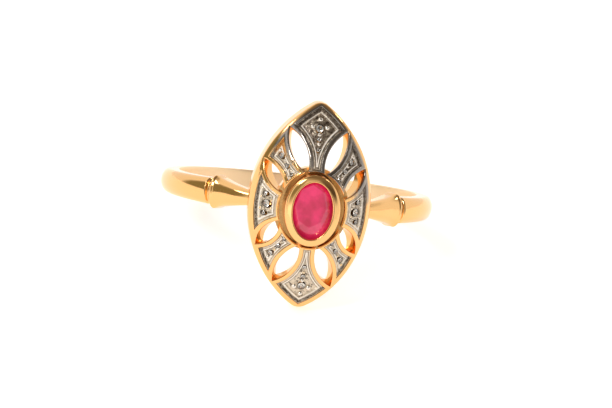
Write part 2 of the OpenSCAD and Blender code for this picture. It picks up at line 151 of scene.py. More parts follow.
def add(tree, kind, links=None, **settings):
    """Adds one node. links gives each input a constant or another node's socket."""
    node = tree.nodes.new(kind)
    for name, value in settings.items():
        setattr(node, name, value)
    for name, value in (links or {}).items():
        socket = node.inputs[name]
        if isinstance(value, bpy.types.NodeSocket):
            tree.links.new(value, socket)
        else:
            socket.default_value = value
    return node


# A colour Mix node has its two colours at inputs 6 and 7, and its result at output 2.
FIRST, SECOND, MIXED = 6, 7, 2

# %% [markdown]
# ## The room
# Polished metal shows its surroundings more than itself, so the room is planned like a product
# photo. It is white all round. Five soft-edged cards hang in it, each where a part of the ring
# mirrors it. They give the bezel its olive and brown sides, grey to the upper panels, and the olive
# patch on the left shoulder.

# %% White walls and five cards
# Each card: the way to it from the ring, the cosines at its soft edge and where it is full, its colour.
CARDS = [
    ((0.1, -0.985, 0.14), 0.9, 0.98, "#46423C"),    # dark, round the camera, for the red stone's table
    ((-0.5, -0.72, 0.48), 0.93, 0.985, "#8C8A6E"),  # olive, for the upper left of the bezel
    ((0.55, -0.65, 0.52), 0.91, 0.975, "#4E463C"),  # brown, for the upper right of the bezel
    ((0.2, -0.1, 0.97), 0.5, 0.88, "#7E766C"),      # grey, overhead
    ((-0.96, 0.16, 0.2), 0.87, 0.95, "#8C8A6E"),    # olive, for the left shoulder
]
world = bpy.data.worlds.new("studio")
bpy.context.scene.world = world
world.use_nodes = True
room = world.node_tree
room.nodes.clear()
way = add(room, "ShaderNodeTexCoord").outputs["Generated"]
shell = linear("#FFFFFF")
for direction, edge, full, colour in CARDS:
    toward = add(room, "ShaderNodeVectorMath", {0: way, 1: direction}, operation="DOT_PRODUCT")
    card = add(room, "ShaderNodeMapRange",
               {"Value": toward.outputs["Value"], "From Min": edge, "From Max": full},
               interpolation_type="SMOOTHSTEP")
    hung = add(room, "ShaderNodeMix",
               {"Factor": card.outputs["Result"], FIRST: shell, SECOND: linear(colour)}, data_type="RGBA")
    shell = hung.outputs[MIXED]
back = add(room, "ShaderNodeBackground", {"Color": shell, "Strength": 1.0})
add(room, "ShaderNodeOutputWorld", {"Surface": back.outputs["Background"]})
bpy.context.scene.view_settings.view_transform = "Standard"
print("cards in the room:", len(CARDS))

# %% [markdown]
# ## The table and the lamps
# The background of the photo is pure white. A sheet of white acrylic lit from below gives that, and
# its glow fills the underside of the gold. Three lamps are small and strong, because a small lamp
# draws a white spark on gold and a wide one only turns it pale yellow. The fourth is long and weak.

# %% A light table: white acrylic, lit from below
def material(name, settings):
    """A new material, its node tree and its Principled node with some inputs set."""
    made = bpy.data.materials.new(name)
    made.use_nodes = True
    surface = made.node_tree.nodes["Principled BSDF"]
    for socket, value in settings.items():
        surface.inputs[socket].default_value = value
    return made, made.node_tree, surface


TABLE_SIZE = 3
bpy.ops.mesh.primitive_plane_add(size=TABLE_SIZE)
table = bpy.context.object
table.name = "table"
acrylic, _, _ = material("lit_white_acrylic", {
    "Base Color": linear("#F4F2EF"), "Roughness": 0.6,
    "Emission Color": linear("#FFFFFF"), "Emission Strength": 0.54,
})
table.data.materials.append(acrylic)
print("table:", TABLE_SIZE, "m wide")

# %% Four lamps
# Each lamp: its place and its width and height in metres, and its power in watts.
LAMPS = {
    "window_left": ((-0.44, 0.06, 0.4), (0.1, 0.14), 0.35),
    "key_upper_left": ((-0.3, -0.38, 0.46), (0.14, 0.14), 1.0),
    "window_right": ((0.38, 0.18, 0.42), (0.1, 0.1), 0.2),
    "front_low": ((-0.15, -0.6, 0.06), (0.5, 0.1), 0.1),
}
RING_MIDDLE = Vector((0, 0, 0.005))
for name, (stand, size, watts) in LAMPS.items():
    lamp = bpy.data.objects.new(name, bpy.data.lights.new(name, "AREA"))
    lamp.data.shape = "RECTANGLE"
    lamp.data.size, lamp.data.size_y = size
    lamp.data.energy = watts
    lamp.location = stand
    lamp.rotation_euler = (RING_MIDDLE - Vector(stand)).to_track_quat("-Z", "Y").to_euler()
    bpy.context.scene.collection.objects.link(lamp)
print("lamps:", *LAMPS)

# %% [markdown]
# ## Working on a dome
# Most of the head is easiest to draw flat, as a plan, and then to lay on the dome. These functions
# give the dome's height and its outward direction at any plan point, so that a depth can be
# measured square to the surface, as an engraver's tool cuts it.

# %% The dome
def dome(plan):
    """Height of the dome over plan points."""
    return np.sqrt((SPINE_R + np.sqrt(ACROSS_R ** 2 - plan[:, 0] ** 2)) ** 2 - plan[:, 1] ** 2) - DOME_LOW


def on_dome(plan, lift=0.0):
    """Points on the dome, raised by lift along its outward direction, and that direction."""
    top = np.column_stack([plan, dome(plan)])
    spine = np.column_stack([0 * plan[:, 0], plan[:, 1], top[:, 2] + DOME_LOW])
    spine *= SPINE_R / np.linalg.norm(spine, axis=1)[:, None]
    spine[:, 2] -= DOME_LOW
    out = (top - spine) / ACROSS_R
    return top + out * np.reshape(lift, (-1, 1)), out


def at_height(plan, z):
    """Plan points at one height."""
    return np.column_stack([plan, np.full(len(plan), z)])


print("dome over the middle:", dome(np.zeros((1, 2))).round(3), "mm")

# %% Putting points into the scene, and reading them back
def place(points, axes):
    """Points given in the head's or the ring's own axes, as scene points in metres."""
    m = np.array(axes)
    return (np.asarray(points, float) @ m[:3, :3].T + m[:3, 3]) * MM


def read(piece, axes):
    """The vertices of a piece in the head's or the ring's own axes, in millimetres."""
    points = np.array([piece.matrix_world @ v.co for v in piece.data.vertices]) / MM
    m = np.array(axes.inverted())
    return points @ m[:3, :3].T + m[:3, 3]


def make(name, points, faces, axes=HEAD):
    """A mesh object from points in millimetres. Its place is in its mesh."""
    mesh = bpy.data.meshes.new(name)
    mesh.from_pydata(place(points, axes), [], [list(map(int, f)) for f in faces])
    mesh.validate()
    piece = bpy.data.objects.new(name, mesh)
    bpy.context.scene.collection.objects.link(piece)
    return piece


# %% [markdown]
# ## The drawing of the head
# Every line of the plan is an arc of a circle or of an oval: the side arcs of the outline, the two
# arcs of each leaf, and the collar round the stone. A line can be drawn inward by any amount by
# changing its radii, which is how a goldsmith's scriber runs along an edge.

# %% The two leaf openings of a quarter of the head
# An opening's inner tip runs into the collar, and its outer tip leaves this much wall.
TIP_REACH, WEB = 0.05, 0.18


def leaf(at, way, width):
    """The two arcs of a leaf, from its place round the collar, its direction and its width."""
    at, way = math.radians(at), math.radians(way)
    inner = (COLLAR - TIP_REACH) * (math.cos(at), math.sin(at))
    along = np.array([math.cos(way), math.sin(way)])
    from_arc = inner + (SIDE_OFF, 0)
    part = from_arc @ along
    length = math.sqrt(part ** 2 - from_arc @ from_arc + (SIDE_R - WEB) ** 2) - part
    left = np.array([-along[1], along[0]])
    radius = (length ** 2 + width ** 2) / (4 * width)
    reach = left * (radius - width / 2)
    middle = inner + along * length / 2
    return {"centres": (middle - reach, middle + reach), "radius": radius, "middle": middle}


TALL = leaf(74.7, 63.6, 1.1)
SIDE = leaf(22, 55, 0.92)
COLLAR_OUT = COLLAR + RIM_W / 2
print("middles of the leaves:", TALL["middle"].round(3), SIDE["middle"].round(3))

# %% Curves of the plan: centre and radii
SIDES_OF_LEAVES = {
    "tall_left": (TALL, 0), "tall_right": (TALL, 1),
    "side_left": (SIDE, 0), "side_right": (SIDE, 1),
}


def curve(kind, inset, flip=(1, 1)):
    """Centre and radii of a panel's bounding line, drawn in by inset."""
    if kind == "border":
        centre, radii = np.array([-SIDE_OFF, 0]), np.array([1, 1]) * (SIDE_R - RIM_W - inset)
    elif kind == "collar":
        centre, radii = np.zeros(2), COLLAR_OUT * (1 + inset / COLLAR_OUT[1])
    else:
        shape, side = SIDES_OF_LEAVES[kind]
        centre, radii = shape["centres"][side], np.array([1, 1]) * (shape["radius"] + LIP_W + inset)
    return centre * flip, radii


def inside_outline(plan):
    """How far plan points lie inside the rounded outline of the head."""
    across, along = abs(plan[:, 0]), abs(plan[:, 1])
    arc = SIDE_R - np.hypot(across + SIDE_OFF, along)
    tip = TIP_R - np.hypot(across, along - TIP_V)
    return np.where(along * SIDE_OFF > TIP_V * (across + SIDE_OFF), tip, arc)


def from_leaves(plan):
    """How far plan points lie outside the nearest leaf opening."""
    nearest = []
    for shape in (TALL, SIDE):
        from_centres = [np.hypot(*(abs(plan) - centre).T) for centre in shape["centres"]]
        nearest.append(np.maximum(*from_centres) - shape["radius"])
    return np.minimum(*nearest)


def border_depth(plan):
    """How far plan points lie inside the rim."""
    return SIDE_R - RIM_W - np.hypot(abs(plan[:, 0]) + SIDE_OFF, plan[:, 1])


def leaf_depth(plan):
    """How far plan points lie inside the lips of the leaves and the collar."""
    collar = (np.hypot(*(plan / COLLAR_OUT).T) - 1) * COLLAR_OUT[1]
    return np.minimum(from_leaves(plan) - LIP_W, collar)


print("rim at the side, from the middle:", curve("border", 0)[1].round(3) - SIDE_OFF)

# %% Closed loops of the plan
def walk(curves, corners, step):
    """A closed loop along curves that meet near the given corners. Its count of points is fixed."""
    met = []
    for i, guess in enumerate(corners):
        (c1, r1), (c2, r2) = curves[i - 1], curves[i]
        p = np.array(guess, float)
        for _ in range(20):
            q = np.array([(p - c1) / r1, (p - c2) / r2])
            size = np.hypot(q[:, 0], q[:, 1])
            slope = np.array([q[0] / r1 / size[0], q[1] / r2 / size[1]])
            p = p - np.linalg.solve(slope, size - 1)
        met.append(p)
    loop = []
    for i, (centre, radii) in enumerate(curves):
        ends = met[i], met[(i + 1) % len(met)]
        a, b = (np.arctan2(*((p - centre) / radii)[::-1]) for p in ends)
        sweep = (b - a + math.pi) % (2 * math.pi) - math.pi
        count = math.ceil(1.1 * math.dist(corners[i], corners[(i + 1) % len(corners)]) / step)
        angle = a + sweep * np.arange(count) / count
        loop.append(centre + radii * np.column_stack([np.cos(angle), np.sin(angle)]))
    return np.vstack(loop)


# The bounding lines of each kind of panel, and rough places of its corners, which walk makes exact.
BOUNDS = {
    "tip": [("border", (1, 1)), ("tall_left", (1, 1)), ("collar", (1, 1)), ("tall_left", (-1, 1)),
            ("border", (-1, 1))],
    "diagonal": [("border", (1, 1)), ("side_left", (1, 1)), ("collar", (1, 1)), ("tall_right", (1, 1))],
    "side": [("border", (1, 1)), ("side_right", (1, 1)), ("collar", (1, 1)), ("side_right", (1, -1))],
}
CORNERS = {
    "tip": [(0, 6.97), (1.72, 5.57), (0.27, 2.85), (-0.27, 2.85), (-1.72, 5.57)],
    "diagonal": [(2.42, 4.77), (3.25, 3.22), (1.92, 1.85), (1.18, 2.48)],
    "side": [(3.67, -1.88), (3.67, 1.88), (2.43, 0.73), (2.43, -0.73)],
}


def panel_loop(kind, inset=0.0, step=0.05):
    """Outline of a white panel: at a tip, on a diagonal, or at a side."""
    return walk([curve(name, inset, flip) for name, flip in BOUNDS[kind]], CORNERS[kind], step)


def leaf_loop(shape, grow=0.0, count=44):
    """Outline of a leaf opening, drawn outward by grow."""
    r = shape["radius"] + grow
    points = []
    for centre, other in (shape["centres"], shape["centres"][::-1]):
        half = math.acos(np.linalg.norm(other - centre) / 2 / r)
        mid = math.atan2(*(other - centre)[::-1])
        angle = mid + np.linspace(-half, half, count, endpoint=False)
        points.append(centre + r * np.column_stack([np.cos(angle), np.sin(angle)]))
    return np.vstack(points)


def oval(radii, count=120):
    angle = np.arange(count) * 2 * math.pi / count
    return np.column_stack([radii[0] * np.cos(angle), radii[1] * np.sin(angle)])


def outline_loop(inset=0.0, step=0.08):
    """Outline of the head: two side arcs and two rounded tips."""
    join = math.atan2(TIP_V, SIDE_OFF)
    arcs = [
        ((-SIDE_OFF, 0), SIDE_R, -join, 2 * join),
        ((0, TIP_V), TIP_R, join, math.pi - 2 * join),
        ((SIDE_OFF, 0), SIDE_R, math.pi - join, 2 * join),
        ((0, -TIP_V), TIP_R, math.pi + join, math.pi - 2 * join),
    ]
    points = []
    for centre, r, start, sweep in arcs:
        count = math.ceil(sweep * r / step)
        angle = start + sweep * np.arange(count) / count
        points.append(np.array(centre) + (r - inset) * np.column_stack([np.cos(angle), np.sin(angle)]))
    return np.vstack(points)


print("points round the head:", len(outline_loop()), "and round a side panel:", len(panel_loop("side")))

# %% [markdown]
# ## From plan to solid
# A region of the plan is filled with triangles by a Delaunay triangulation that keeps every drawn
# line as an edge, so a crease or a ridge lies exactly where it was drawn. Raised onto the dome and
# closed below, it becomes a solid. Straight-sided cutters are simple tubes of rings.

# %% Fill a region
def within(loop, plan):
    """Which plan points lie in a closed loop, by counting the edges crossed on the way out."""
    a, b = loop, np.roll(loop, -1, axis=0)
    x, y = plan[:, :1], plan[:, 1:]
    rise = np.where(b[:, 1] == a[:, 1], 1e-12, b[:, 1] - a[:, 1])
    beyond = x < a[:, 0] + (y - a[:, 1]) / rise * (b[:, 0] - a[:, 0])
    crosses = ((a[:, 1] > y) != (b[:, 1] > y)) & beyond
    return crosses.sum(axis=1) % 2 == 1


def fill(loops, inside, step, lines=()):
    """Triangles over a plan region with closed loops, open lines and a grid of points."""
    points, edges = [], []
    for loop, closed in [(l, True) for l in loops] + [(l, False) for l in lines]:
        first = len(points)
        points += [tuple(p) for p in loop]
        edges += [(first + i, first + i + 1) for i in range(len(loop) - 1)]
        if closed:
            edges.append((len(points) - 1, first))
    low, high = np.min(loops[0], axis=0), np.max(loops[0], axis=0)
    rows = []
    for k, v in enumerate(np.arange(low[1], high[1], step * 0.87)):
        u = np.arange(low[0] + (k % 2) * step / 2, high[0], step)
        rows.append(np.column_stack([u, np.full(len(u), v)]))
    grid = np.vstack(rows)
    grid = grid[(inside(grid) > step * 0.6) & within(loops[0], grid)]
    points += [tuple(p) for p in grid]
    verts, _, faces = delaunay_2d_cdt([Vector(p) for p in points], edges, [], 0, 1e-6)[:3]
    verts, faces = np.array([tuple(v) for v in verts]), np.array(faces)
    middle = verts[faces].mean(axis=1)
    return verts, faces[(inside(middle) > 0) & within(loops[0], middle)]


# %% Close it into a solid
def face_outward(piece):
    """Turns all faces of a closed mesh outward, and drops points that no face uses."""
    b = bmesh.new()
    b.from_mesh(piece.data)
    bmesh.ops.delete(b, geom=[v for v in b.verts if not v.link_faces], context="VERTS")
    bmesh.ops.recalc_face_normals(b, faces=b.faces)
    b.to_mesh(piece.data)
    b.free()
    return piece


def slab(name, faces, layers):
    """A closed solid over a filled plan: top and bottom layers, and walls through the ones between."""
    count = len(layers[0])
    border = {}
    for f in faces:
        for a, b in ((f[0], f[1]), (f[1], f[2]), (f[2], f[0])):
            if border.pop((b, a), None) is None:
                border[(a, b)] = True
    walls = [(b + k * count, a + k * count, a + (k + 1) * count, b + (k + 1) * count)
             for k in range(len(layers) - 1) for a, b in border]
    floor = faces[:, ::-1] + (len(layers) - 1) * count
    return face_outward(make(name, np.vstack(layers), [*faces, *floor, *walls]))


def tube(name, rings, axes=HEAD, ring_shaped=False):
    """A closed solid through rings of equal count. A ring-shaped one joins its last to its first."""
    count, last = len(rings[0]), len(rings)
    faces = []
    for i in range(last if ring_shaped else last - 1):
        for j in range(count):
            here, there = i * count, (i + 1) % last * count
            faces.append((here + j, here + (j + 1) % count, there + (j + 1) % count, there + j))
    if not ring_shaped:
        faces += [list(range(count))[::-1], list(range((last - 1) * count, last * count))]
    return face_outward(make(name, np.vstack(rings), faces, axes))


def bake(base, *spent):
    """Makes a piece's modifiers real and removes pieces that are used up."""
    ready = base.evaluated_get(bpy.context.evaluated_depsgraph_get())
    result = bpy.data.meshes.new_from_object(ready)
    base.modifiers.clear()
    base.data = result
    for piece in spent:
        bpy.data.objects.remove(piece)
    return base


def combine(base, tool, how):
    """Cuts tool from base or joins it to base, and removes tool."""
    change = base.modifiers.new(how, "BOOLEAN")
    change.operation, change.object, change.solver = how, tool, "MANIFOLD"
    return bake(base, tool)


# %% [markdown]
# ## The pierced head
# The real head was cast with a thick shell, pierced with a saw and polished, so each edge is soft.
# A cutter whose mouth flares like a trumpet does the piercing and the rounding in one cut.

# %% The domed shell with its rounded border
ROUND = 0.14


def rounded_off(plan):
    """How far the rounded border lies below the dome."""
    near_edge = np.maximum(ROUND - inside_outline(plan), 0)
    return ROUND - np.sqrt(np.maximum(ROUND ** 2 - near_edge ** 2, 0))


loops = [outline_loop(ROUND * share) for share in (0, 0.04, 0.15, 0.4, 1)]
plan, faces = fill(loops, inside_outline, 0.16)
top = np.column_stack([plan, dome(plan) - rounded_off(plan)])
head = slab("gold_body", faces, [top, at_height(plan, -WALL_H)])
print("domed block:", len(head.data.polygons), "faces")

# %% Hollow it from below, with a plate of even thickness under the dome
# How far below the wall's foot the cutter's roof may sink, and how far down the cutter reaches.
LEDGE, BELOW = 0.05, 0.4
plan, faces = fill([outline_loop(WALL_T)], lambda p: inside_outline(p) - WALL_T, 0.2)
reach = np.maximum((ACROSS_R - PLATE_T) ** 2 - plan[:, 0] ** 2, 0)
under = np.sqrt((SPINE_R + np.sqrt(reach)) ** 2 - plan[:, 1] ** 2) - DOME_LOW
under = np.where(reach > 0, np.maximum(under, -WALL_H - LEDGE), -WALL_H - LEDGE)
hollow = slab("hollow", faces, [np.column_stack([plan, under]), at_height(plan, -WALL_H - BELOW)])
head = combine(head, hollow, "DIFFERENCE")
print("shell:", len(head.data.polygons), "faces")


# %% Pierce the eight leaves
# Rounding of a leaf's edge, and depth of its cut.
LEAF_EDGE, LEAF_CUT = 0.09, 2.2
# The funnel over a mouth is this much wider than its rounding, and ends this far above the dome.
MOUTH_OUT, MOUTH_UP = 0.05, 0.03


def mouth(loop_at, edge, above=0.8):
    """Rings of a flared mouth: the drawn line grown outward, from above the dome down to its wall."""
    rings = [on_dome(loop_at(edge + MOUTH_OUT), lift)[0] for lift in (above, MOUTH_UP)]
    for a in np.radians((67, 45, 22, 0)):
        grow, deep = edge * (1 - math.cos(a)), edge * (1 - math.sin(a))
        rings.append(on_dome(loop_at(grow), -deep)[0])
    return rings


for shape in (TALL, SIDE):
    outward = on_dome(shape["middle"][None, :])[1][0]
    for flip in ((1, 1), (-1, 1), (1, -1), (-1, -1)):
        rings = mouth(lambda grow: leaf_loop(shape, grow), LEAF_EDGE)
        rings.append(rings[-1] - LEAF_CUT * outward)
        head = combine(head, tube("leaf", [r * (*flip, 1) for r in rings]), "DIFFERENCE")
print("with leaves:", len(head.data.polygons), "faces")

# %% Sink the eight pockets and open the hole for the stone
# Rounding of the edges, and how far a pocket's cutter stands over the dome and the hole's below the wall.
POCKET_EDGE, HOLE_EDGE = 0.06, 0.07
POCKET_ABOVE, HOLE_BELOW = 0.3, 0.5
PANELS = {
    "n": ("tip", (1, 1)), "s": ("tip", (1, -1)), "e": ("side", (1, 1)), "w": ("side", (-1, 1)),
    "ne": ("diagonal", (1, 1)), "nw": ("diagonal", (-1, 1)),
    "se": ("diagonal", (1, -1)), "sw": ("diagonal", (-1, -1)),
}
for kind, flip in PANELS.values():
    drawn = panel_loop(kind)
    plan, faces = fill([drawn], lambda p: np.minimum(border_depth(p), leaf_depth(p)), 0.15)
    nearest = np.hypot(*(plan[:, None] - drawn).transpose(2, 0, 1)).argmin(axis=1)
    on_line = np.hypot(*(plan - drawn[nearest]).T)[:, None] < 1e-4

    def grown(grow):
        return np.where(on_line, panel_loop(kind, -grow)[nearest], plan)

    layers = mouth(grown, POCKET_EDGE, POCKET_ABOVE) + [on_dome(plan, -POCKET_D)[0]]
    head = combine(head, slab("pocket", faces, [l * (*flip, 1) for l in layers]), "DIFFERENCE")

rings = mouth(lambda grow: oval(COLLAR + grow), HOLE_EDGE)
rings.append(at_height(oval(COLLAR), -WALL_H - HOLE_BELOW))
head = combine(head, tube("stone_hole", rings), "DIFFERENCE")
print("pierced head:", len(head.data.polygons), "faces")

# %% [markdown]
# ## The bezel
# A bezel is a strip bent round the stone, whose top is burnished over the stone's edge. On this ring
# its top is a flat bevel. Its profile is drawn once, as inset and height, and carried round the oval.

# %% Bezel: one profile carried round the oval
SIDES = 160
# Heights of the seat and the lip, and how far the seat reaches under the stone.
SEAT_Z, LIP_Z, SEAT_W = 2.3, 2.69, 0.14
# Inset from the outside, as a share of the way to the opening, and height.
PROFILE = [
    (0, JOINT_LOW), (0, 1.4), (0, 2.2), (0, 2.5), (0.012, 2.62), (0.045, 2.7), (0.1, 2.755), (0.18, 2.795),
    (0.35, 2.84), (0.6, 2.885), (0.8, 2.915), (0.88, BEZEL_TOP), (0.94, 2.905), (0.98, 2.87), (1.0, 2.81),
    (1.0, LIP_Z),
]


def level_ring(radii, z):
    return at_height(oval(radii, SIDES), z)


rings = [level_ring(BEZEL - share * (BEZEL - LIP_HOLE), z) for share, z in PROFILE]
rings += [level_ring(STONE + GAP, z) for z in (LIP_Z, SEAT_Z)]
rings += [level_ring(STONE - SEAT_W, z) for z in (SEAT_Z, JOINT_LOW)]
bezel = tube("bezel", rings, ring_shaped=True)
# A ring of solder under the groove joins the two. It reaches this far into the head and the bezel.
INTO_HEAD, INTO_BEZEL = 0.25, 0.1
outer, inner = COLLAR + INTO_HEAD, BEZEL - INTO_BEZEL
seam = ((outer, JOINT_LOW), (outer, GROOVE_Z), (inner, GROOVE_Z), (inner, JOINT_LOW))
seam = tube("joint_ring", [level_ring(*at) for at in seam], ring_shaped=True)
bezel = combine(bezel, seam, "UNION")
head = combine(head, bezel, "UNION")
print("head with bezel:", len(head.data.polygons), "faces")

# %% [markdown]
# ## The band and its shoulders
# The band is a wire, drawn half round and bent to the finger. At each shoulder the maker filed a
# groove, left a sharp collar beside it and tapered the neck to the head. Here the band is a row of
# sections. A smooth curve through a few stations, from the head to the back, gives the width and the
# inner and outer height of each section.

# %% Stations from the head to the back
# Angle from the head, width, and inner and outer height over the finger hole.
STATIONS = np.array([
    (22.35, 1.0, 1.01, 2.11), (29.73, 1.388, 0.545, 1.8), (39.92, 2.02, 0, 1.42),  # the neck
    (41.65, 2.223, 0, 1.402), (42.8, 2.34, 0, 1.46), (43.66, 2.2, 0, 1.372),  # the collar
    (44.45, 1.66, 0, 1.12), (45.42, 1.66, 0, 1.12),  # the groove
    (46.4, 1.854, 0, 1.346), (55.83, 1.8, 0, 1.32),  # the band
    (92.74, 1.678, 0, 1.265), (180, 1.42, 0, 1.1),  # its back
])
print("widest at the collar:", STATIONS[:, 1].max(), "mm")

# %% The band: sections carried round the finger hole
# Share of the band's thickness that is a plain edge, and the rounding of its inner corners.
EDGE_SHARE, SOFT = 0.55, 0.09


def smooth(x, y, at):
    """A curve through points that never overshoots them, as a spline bent by hand."""
    h, d = np.diff(x), np.diff(y) / np.diff(x)
    agree = d[1:] * d[:-1] > 0
    m = np.where(agree, 2 * d[1:] * d[:-1] / (d[1:] + d[:-1] + 1e-12), 0)
    m = np.concatenate([[d[0]], m, [d[-1]]])
    i = np.clip(np.searchsorted(x, at, side="right") - 1, 0, len(h) - 1)
    t = (at - x[i]) / h[i]
    return (y[i] * (2 * t ** 3 - 3 * t ** 2 + 1) + y[i + 1] * (3 * t ** 2 - 2 * t ** 3)
            + m[i] * h[i] * (t ** 3 - 2 * t ** 2 + t) + m[i + 1] * h[i] * (t ** 3 - t ** 2))


def section(w, low, high):
    """Half round outside with a plain edge, flat inside with softened corners."""
    low, high = FINGER_R + low, FINGER_R + high
    edge = low + EDGE_SHARE * (high - low)
    a = np.radians(np.linspace(-90, 90, 33))
    b = np.radians(np.linspace(0, 90, 5))
    outside = np.column_stack([edge + (high - edge) * np.cos(a), w / 2 * np.sin(a)])
    corner = np.column_stack([low + SOFT - SOFT * np.sin(b), w / 2 - SOFT + SOFT * np.cos(b)])
    flat = np.column_stack([np.full(5, low), np.linspace(w / 2 - SOFT, -w / 2 + SOFT, 7)[1:-1]])
    return np.vstack([outside, corner, flat, corner[::-1] * (1, -1)])


# Sections stand closest round the collar and its groove.
angles = np.concatenate([
    np.linspace(STATIONS[0, 0], 38, 30, endpoint=False),
    np.linspace(38, 48, 70, endpoint=False),
    np.linspace(48, 180, 90),
])
sizes = [smooth(STATIONS[:, 0], STATIONS[:, k], angles) for k in (1, 2, 3)]
half = [section(*s) for s in zip(*sizes)]
rings = []
for a, s in [*zip(angles, half), *zip(360 - angles[-2::-1], half[-2::-1])]:
    a = math.radians(a)
    rings.append(np.column_stack([s[:, 0] * math.sin(a), -s[:, 0] * math.cos(a), s[:, 1]]))
gold = combine(head, tube("band", rings, RING), "UNION")
print("gold body:", len(gold.data.polygons), "faces")

# %% [markdown]
# ## White metal panels, cut bright
# Each panel lies in its pocket with a hair of clearance. The engraver left a thin edge all round,
# cut fine lines along the leaves and a slanting facet along the border, and sank the floor between
# them. One height function holds all of that. It takes the distances from a point to the panel's
# bounding lines and reads two profiles, as a section drawing would give them.

# %% Height of a panel's face
FLOOR_D = 0.2
# Distance from the line, and depth below the dome.
ALONG_LEAF = [(0, 0.13), (0.02, 0.07), (0.06, 0.055), (0.10, 0.07), (0.14, 0.135), (0.19, 0.085),
              (0.23, 0.09), (0.28, 0.17), (0.33, FLOOR_D)]
ALONG_BORDER = [(0, 0.13), (0.02, 0.06), (0.08, 0.05), (0.11, 0.07), (0.28, FLOOR_D), (0.33, 0.125),
                (0.36, 0.125), (0.4, FLOOR_D)]
SEAT_RIM = [(0.015, 0.17), (0.03, 0.15), (0.06, 0.15), (0.09, FLOOR_D)]


def seats(where):
    """Plan place and radius of the three stones of a panel, from their solids."""
    found = []
    for i in (1, 2, 3):
        p = read(bpy.data.objects[f"diamond_{where}{i}"], HEAD)
        centre = (p.min(axis=0) + p.max(axis=0)) / 2
        found.append((centre[:2], np.hypot(*(p - centre)[:, :2].T).max()))
    return found


def depth_at(plan, stones):
    """Depth of a panel's face below the dome. No ridge runs on past the line that it meets."""
    leaf, border = leaf_depth(plan), border_depth(plan)
    along_leaf = np.interp(leaf, *zip(*ALONG_LEAF))
    along_leaf = np.where((border < 0.32) & (leaf > 0.14), FLOOR_D, along_leaf)
    along_border = np.interp(border, *zip(*ALONG_BORDER))
    along_border = np.where((leaf < 0.18) & (border > 0.28), FLOOR_D, along_border)
    depth = np.minimum(along_leaf, along_border)
    for centre, radius in stones:
        from_seat = np.hypot(*(plan - centre).T) - radius
        depth = np.minimum(depth, np.interp(from_seat, *zip(*SEAT_RIM), left=FLOOR_D))
    return depth


print("stones of the upper panel:", [(c.round(2).tolist(), round(r, 3)) for c, r in seats("n")])

# %% Lines along which a panel's face turns
HAIR = 0.012


def crease_lines(kind, inside):
    """The bounding lines of a panel, drawn in by each distance at which a profile turns."""
    lines = []
    for name, flip in BOUNDS[kind]:
        profile = ALONG_BORDER if name == "border" else ALONG_LEAF
        for d, _ in profile[2:]:
            centre, radii = curve(name, d, flip)
            angle = np.linspace(0, 2 * math.pi, int(2 * math.pi * radii.mean() / 0.06))
            arc = centre + radii * np.column_stack([np.cos(angle), np.sin(angle)])
            keep = (inside(arc) > HAIR) & within(panel_loop(kind, GAP), arc)
            runs = np.split(np.arange(len(arc)), np.flatnonzero(np.diff(keep.astype(int))) + 1)
            lines += [arc[r] for r in runs if keep[r[0]] and len(r) > 1]
    return lines


# %% Cut the eight panels
def white_panel(where):
    kind, flip = PANELS[where]
    stones = [(centre * flip, radius) for centre, radius in seats(where)]

    def inside(plan):
        free = np.minimum(border_depth(plan), leaf_depth(plan)) - GAP
        for centre, radius in stones:
            free = np.minimum(free, np.hypot(*(plan - centre).T) - radius - HAIR)
        return free

    loops = [panel_loop(kind, GAP, 0.04)]
    for centre, radius in stones:
        loops += [centre + oval((radius + d, radius + d), 32) for d in (0.015, 0.03, 0.06)]
    plan, faces = fill(loops, inside, 0.045, crease_lines(kind, inside))
    top = on_dome(plan, -depth_at(plan, stones))[0]
    bottom = on_dome(plan, GAP - POCKET_D)[0]
    return slab(f"white_panel_{where}", faces, [top * (*flip, 1), bottom * (*flip, 1)])


panels = {where: white_panel(where) for where in PANELS}
print("panel faces:", {where: len(p.data.polygons) for where, p in panels.items()})

# %% [markdown]
# ## Raised grains
# A setter raises small grains of metal from the floor with a graver and rounds them with a hollow
# punch. They hold the stones and catch the light as small dots. A geometry node group puts a punched
# grain on every point of a small table and reads its size from the point.

# %% Where the grains stand: across, along and radius, for each kind of panel
GRAINS = {
    "tip": [(0.52, 5.68, 0.2), (-0.52, 5.68, 0.2), (0, 6.19, 0.19), (0, 5.17, 0.14), (0, 4.54, 0.13)],
    "diagonal": [(2.64, 3.8, 0.14), (2.26, 3.16, 0.11), (1.94, 2.56, 0.08)],
    "side": [(2.89, 0.28, 0.11), (2.89, -0.28, 0.11), (3.58, 0.4, 0.11), (3.58, -0.4, 0.11),
             (3.59, 1.01, 0.1), (3.59, -1.01, 0.1)],
}


def store(piece, name, values):
    """Stores one number, or three, with each vertex of a piece."""
    kind, key = ("FLOAT", "value") if values.ndim == 1 else ("FLOAT_VECTOR", "vector")
    field = piece.data.attributes.new(name, kind, "POINT")
    field.data.foreach_set(key, values.ravel())


rows = np.array([(u * flip[0], v * flip[1], radius)
                 for kind, flip in PANELS.values() for u, v, radius in GRAINS[kind]])
grains = make("raised_grains", on_dome(rows[:, :2], -FLOOR_D)[0], [])
store(grains, "size", rows[:, 2] * MM)
print("points for grains:", len(rows))

